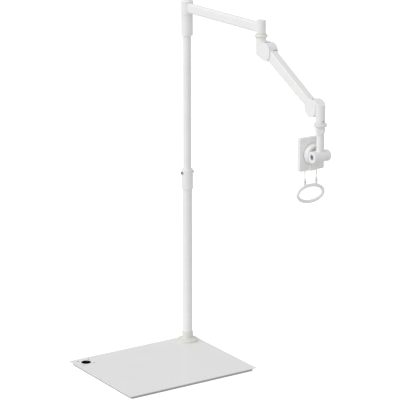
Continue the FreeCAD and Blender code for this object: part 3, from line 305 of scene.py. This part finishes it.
# ---------------------------------------------------------------- mesh tools

MERGE = 2e-6
FLAT_ANGLE = math.radians(0.2)
SHARP_ANGLE = math.radians(30)
BORE_REACH = 21.6 * MM
BOLT_SPACING = 25 * MM
BOLT_REACH = 6.5 * MM


def new_piece(name, mesh, body, slot, stands_for=(), material=None):
    """Link a mesh as a piece that rides on a body and takes a slot's finish."""
    piece = bpy.data.objects.new(name, mesh)
    bpy.context.scene.collection.objects.link(piece)
    mesh.materials.clear()
    mesh.materials.append(material or FINISH[slot])
    for face in mesh.polygons:
        face.use_smooth = True
    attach(piece, body)
    if stands_for:
        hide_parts(*stands_for)
    return piece


def mesh_from(name, bm):
    """Close a bmesh into a mesh with outward faces."""
    bmesh.ops.recalc_face_normals(bm, faces=bm.faces)
    mesh = bpy.data.meshes.new(name)
    bm.to_mesh(mesh)
    bm.free()
    return mesh


def softened(node, width_mm, material=None):
    """A CAD piece with its sharp edges broken by a small round, as coating and casting leave them."""
    bm = bmesh.new()
    bm.from_mesh(NODES[node].data)
    bmesh.ops.remove_doubles(bm, verts=bm.verts, dist=MERGE)
    bmesh.ops.dissolve_limit(bm, angle_limit=FLAT_ANGLE, verts=bm.verts, edges=bm.edges)
    mesh = mesh_from(f"{node}_finished", bm)
    if "custom_normal" in mesh.attributes:
        mesh.attributes.remove(mesh.attributes["custom_normal"])
    piece = new_piece(f"{node}_finished", mesh, BODY_OF[node], SLOT_OF[node], [node], material)
    edge = piece.modifiers.new("broken_edge", "BEVEL")
    edge.width = width_mm * MM
    edge.segments = 2
    edge.limit_method = "ANGLE"
    edge.angle_limit = SHARP_ANGLE
    edge.harden_normals = True
    piece.modifiers.new("even_shading", "WEIGHTED_NORMAL").keep_sharp = True


def paint_hole_shade(name):
    """Paint the walls of both column bores and their bolt holes near-black, as painted shade inside
    the holes.
    """
    mesh = bpy.data.objects[name].data
    mesh.materials.append(HOLE_SHADE)
    column_x = centre_of("lower_tube").x
    spare_x = 2 * centre_of("base_cover").x - column_x
    for face in mesh.polygons:
        if abs(face.normal.z) > 0.5:
            continue
        for bore_x in (column_x, spare_x):
            across, along = abs(face.center.x - bore_x), abs(face.center.y)
            off_bolt = math.hypot(across - BOLT_SPACING, along - BOLT_SPACING)
            if math.hypot(across, along) < BORE_REACH or off_bolt < BOLT_REACH:
                face.material_index = 1


def ring_points(radius, height, sides, six_sided):
    """One turn of points; a six-sided turn follows a hexagon of that inner radius."""
    points = []
    for i in range(sides):
        angle = 2 * math.pi * i / sides
        reach = radius
        if six_sided:
            reach = radius / math.cos((angle % (math.pi / 3)) - math.pi / 6)
        points.append((reach * math.cos(angle), reach * math.sin(angle), height))
    return points


def lathe(name, profile, place, body, slot, stands_for=(), sides=72, closed=False, material=None):
    """Turn a profile of (radius, height) or (radius, height, True) for a hexagon, in millimetres."""
    bm = bmesh.new()
    turns = []
    for point in profile:
        six_sided = len(point) == 3
        spots = ring_points(point[0] * MM, point[1] * MM, sides, six_sided)
        turns.append([bm.verts.new(spot) for spot in spots])
    pairs = list(zip(turns, turns[1:]))
    if closed:
        pairs.append((turns[-1], turns[0]))
    for lower, upper in pairs:
        for i in range(sides):
            j = (i + 1) % sides
            bm.faces.new((lower[i], lower[j], upper[j], upper[i]))
    if not closed:
        bm.faces.new(turns[0])
        bm.faces.new(turns[-1])
    mesh = mesh_from(name, bm)
    mesh.transform(place)
    piece = new_piece(name, mesh, body, slot, stands_for, material)
    piece.modifiers.new("even_shading", "WEIGHTED_NORMAL")
    return piece


def arc(centre, radius, start, end, steps=8):
    """Profile points along an arc, by angles in degrees."""
    angles = [math.radians(start + (end - start) * i / steps) for i in range(steps + 1)]
    return [(centre[0] + radius * math.cos(a), centre[1] + radius * math.sin(a)) for a in angles]


def ring_tube(name, path, radius, body, slot, sides, stands_for=()):
    """A round tube along a closed path of points in metres."""
    bm = bmesh.new()
    count = len(path)
    centre = sum((Vector(p) for p in path), Vector()) / count
    normal = Vector()
    for i in range(count):
        normal += (Vector(path[i]) - centre).cross(Vector(path[(i + 1) % count]) - centre)
    normal.normalize()
    turns = []
    for i in range(count):
        here = Vector(path[i])
        ahead = (Vector(path[(i + 1) % count]) - Vector(path[i - 1])).normalized()
        side = ahead.cross(normal).normalized()
        up = side.cross(ahead).normalized()
        angles = [2 * math.pi * k / sides for k in range(sides)]
        turns.append([bm.verts.new(here + radius * (math.cos(a) * side + math.sin(a) * up))
                      for a in angles])
    for i in range(count):
        lower, upper = turns[i], turns[(i + 1) % count]
        for k in range(sides):
            n = (k + 1) % sides
            bm.faces.new((lower[k], lower[n], upper[n], upper[k]))
    return new_piece(name, mesh_from(name, bm), body, slot, stands_for)


def standing(node, at_top=False):
    """A placement on a node's upright axis, at its lowest or highest point."""
    low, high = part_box(node)
    middle = centre_of(node)
    return Matrix.Translation((middle.x, middle.y, high.z if at_top else low.z))


def facing(point, direction):
    """A placement at a point whose Z looks along a direction."""
    turn = Vector(direction).to_track_quat("Z", "Y").to_matrix().to_4x4()
    return Matrix.Translation(point) @ turn


# ---------------------------------------------------------------- finished CAD pieces

# How far each finished CAD piece's sharp edges are rounded, in millimetres.
EDGE_ROUND = {
    "arm_hub": 0.4, "end_post": 0.4, "post_cap": 0.4, "arm_beam": 0.3,
    "yoke": 0.7, "upper_pivot_covers": 0.5, "lower_pivot_covers": 0.5, "spring_beam": 0.6,
    "beam_under_cover": 0.4, "head": 0.7, "locking_collar": 0.5, "drop_tube": 0.4,
    "tilt_bracket": 0.6, "tilt_cap": 0.3, "tilt_bolt": 0.4, "plate_cover": 0.4,
    "vesa_plate": 0.3, "clamp_collar": 0.4, "top_sleeve": 0.4, "lower_tube": 0.3,
    "upper_tube": 0.3,
}


# ---------------------------------------------------------------- turned pieces

def foot_flange():
    """Cast foot: a thick rim that sweeps up into the socket round the tube."""
    low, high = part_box("foot_flange")
    rim, tall = radius_of("foot_flange") / MM, (high.z - low.z) / MM
    bore, neck, neck_start = 21.05, 24, 24
    chamfer, lip, lip_high = 0.6, 3.5, 5.5
    fillet, fillet_high = 3, 16.5
    mouth = 2.5
    profile = [(bore, 0), (rim - chamfer, 0), (rim, chamfer), (rim, lip_high)]
    profile += arc((rim - lip, lip_high), lip, 15, 85, steps=6)
    profile += [(rim - inward, rise) for inward, rise in ((8, 10.2), (14, 12.4))]
    profile += arc((neck + fillet, fillet_high), fillet, 245, 180, steps=5)
    profile += [(neck, neck_start), (neck, tall - mouth)]
    profile += arc((neck - mouth, tall - mouth), mouth, 10, 90, steps=4)
    profile += [(bore, tall)]
    lathe("foot_flange_cast", profile, standing("foot_flange"), "base_unit", "white_powder_coat",
          ["foot_flange"], closed=True, material=powder_coated_casting())


def swivel_rings():
    """Bearing rings with a full round edge and a fine parting groove."""
    bore, nose, face = 7.05, 6.2, 2
    groove_deep, groove_high = 0.35, 0.6
    for name in ("upper_swivel_ring", "lower_swivel_ring"):
        low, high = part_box(name)
        outer, tall = radius_of(name) / MM, (high.z - low.z) / MM
        edge = outer - nose
        profile = [(bore, 0), (edge - face, 0)] + arc((edge, nose), nose, -90, -6)
        profile += [(outer - groove_deep, tall / 2), (outer, tall / 2 + groove_high)]
        profile += arc((edge, tall - nose), nose, 10, 90) + [(bore, tall)]
        lathe(f"{name}_moulded", profile, standing(name), BODY_OF[name],
              "ivory_bearing_plastic", [name], closed=True)


def hub_cap():
    """Domed cap over the arm hub, with a small step where it meets the metal."""
    low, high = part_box("hub_cap")
    plug, skirt, chamfer = 5, 2.0, 0.6
    hollow, crown, tip, fullness = 10, 2, 1.5, 0.7
    radius, tall = radius_of("hub_cap") / MM, (high.z - low.z) / MM - plug
    profile = [(hollow, 0), (radius - chamfer, 0), (radius, chamfer), (radius, skirt)]
    for degrees in range(6, 90, 7):
        angle = math.radians(degrees)
        profile.append((crown + (radius - crown) * math.cos(angle) ** fullness,
                        skirt + (tall - skirt) * math.sin(angle)))
    profile.append((tip, tall))
    lathe("hub_cap_moulded", profile, standing("arm_hub", at_top=True), "extension_arm",
          "white_moulded_plastic", ["hub_cap"])


def screw_head(name, node, at, direction, radius, long, key, stands_for=()):
    """A socket-head screw: chamfered head with a six-sided recess, in millimetres."""
    chamfer, lip, lead, recess, drill = 0.7, 0.6, 0.4, 3.0, 0.6
    floor = long - recess
    profile = [(radius * 0.8, -1.0), (radius, -lead), (radius, long - chamfer),
               (radius - chamfer, long), (key / 2 + lip, long), (key / 2, long - lead, True),
               (key / 2, floor, True), (0.3, floor - drill)]
    lathe(name, profile, facing(at, direction), BODY_OF[node], "zinc_plated_steel", stands_for,
          sides=48)


def screws():
    """Visible zinc screws: two in the clamp, one in the head, one in each connector."""
    sunk = 0.3 * MM
    middle, reach = centre_of("clamp_screws"), radius_of("clamp_collar")
    for side, sign in (("west", -1), ("east", 1)):
        screw_head(f"clamp_screw_{side}", "clamp_screws",
                   (sign * reach, middle.y, middle.z), (sign, 0, 0), radius=6, long=6, key=5,
                   stands_for=["clamp_screws"] if side == "west" else ())
    low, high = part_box("head_set_screw")
    middle = centre_of("head_set_screw")
    screw_head("head_set_screw_socket", "head_set_screw", (middle.x, low.y + sunk, middle.z),
               (0, -1, 0), radius=3, long=0.3, key=2.6, stands_for=["head_set_screw"])
    low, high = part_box("connector_screws")
    radius = 2.5
    for side, x in (("west", low.x + radius * MM), ("east", high.x - radius * MM)):
        screw_head(f"connector_screw_{side}", "connector_screws",
                   (x, low.y + sunk, (low.z + high.z) / 2), (0, -1, 0), radius, long=0.5, key=2.4,
                   stands_for=["connector_screws"] if side == "west" else ())


# ---------------------------------------------------------------- loop, welds and stops

def hand_loop():
    """The oval loop: one smooth moulded tube of round section."""
    low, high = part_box("handle_loop")
    centre = centre_of("handle_loop")
    radius = (high.y - low.y) / 2
    wide, tall = (high.x - low.x) / 2 - radius, (high.z - low.z) / 2 - radius
    steps = 120
    turns = [2 * math.pi * i / steps for i in range(steps)]
    path = [(centre.x + wide * math.cos(t), centre.y, centre.z + tall * math.sin(t)) for t in turns]
    ring_tube("hand_loop_moulded", path, radius, "plate_unit", "white_moulded_plastic", sides=28,
              stands_for=["handle_loop"])


def weld_beads():
    """A thin fillet weld where the box arm meets the round hub and the round post."""
    corner, bead = 8.5 * MM, 1.1 * MM
    low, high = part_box("arm_beam")
    half_wide, half_tall = (high.x - low.x) / 2, (high.z - low.z) / 2
    middle = (high.z + low.z) / 2
    for name, node, sign in (("hub_weld", "arm_hub", -1), ("post_weld", "end_post", 1)):
        radius, centre = radius_of(node), centre_of(node).y
        path = []
        for sx, sz, start in ((1, 1, 0), (-1, 1, 90), (-1, -1, 180), (1, -1, 270)):
            for step in range(0, 91, 15):
                angle = math.radians(start + step)
                x = sx * (half_wide - corner) + corner * math.cos(angle)
                z = sz * (half_tall - corner) + corner * math.sin(angle)
                path.append((x, centre + sign * math.sqrt(radius ** 2 - x ** 2), middle + z))
        ring_tube(name, path, bead, "extension_arm", "white_powder_coat", sides=10)


def rubber_stop(name, middle, lean):
    """A small moulded rubber stop: a block with well rounded edges, leaning with its arm."""
    size = (5.6 * MM, 5.6 * MM, 6 * MM)
    rounding = 0.3 * min(size)
    bm = bmesh.new()
    bmesh.ops.create_cube(bm, size=1.0, matrix=Matrix.Diagonal((*size, 1.0)))
    bmesh.ops.bevel(bm, geom=bm.edges[:], offset=rounding, segments=4, profile=0.5,
                    affect="EDGES")
    mesh = mesh_from(name, bm)
    mesh.transform(Matrix.Translation(middle) @ lean)
    piece = new_piece(name, mesh, "spring_arm", "black_rubber")
    piece.modifiers.new("even_shading", "WEIGHTED_NORMAL")


def rubber_stops():
    """Three stops in their seats along the top of the spring arm, two near its upper pivot."""
    pivot = centre_of("upper_pivot_pin")
    run = pivot - centre_of("lower_pivot_pin")
    lean = Matrix.Rotation(math.atan2(run.z, run.y), 4, "X")
    upper_along, upper_rise = -27.5, 21.4
    lower_along, lower_rise = -330.5, 17.2
    for side, across, along, rise in (("near", 3, upper_along, upper_rise),
                                      ("far", 12.5, upper_along, upper_rise),
                                      ("low", 5, lower_along, lower_rise)):
        spot = pivot + lean @ Vector((across * MM, along * MM, rise * MM))
        rubber_stop(f"arm_stop_{side}", spot, lean)


# ---------------------------------------------------------------- the scene

add_camera()
add_lights()
add_floor()

for node, piece in NODES.items():
    piece.data.materials.clear()
    piece.data.materials.append(FINISH[SLOT_OF[node]])

for node, width in EDGE_ROUND.items():
    softened(node, width)
# The heavy plate's grey is painted shade under the cover's overhang.
for node, width, coat in (("base_cover", 0.35, SHEET_COAT), ("base_weight", 0.6, shade_grey_plate())):
    softened(node, width, coat)
    # Hole walls take near-black painted shade.
    paint_hole_shade(f"{node}_finished")

foot_flange()
swivel_rings()
hub_cap()
screws()
hand_loop()
weld_beads()
rubber_stops()

bpy.context.scene.view_settings.view_transform = "Standard"
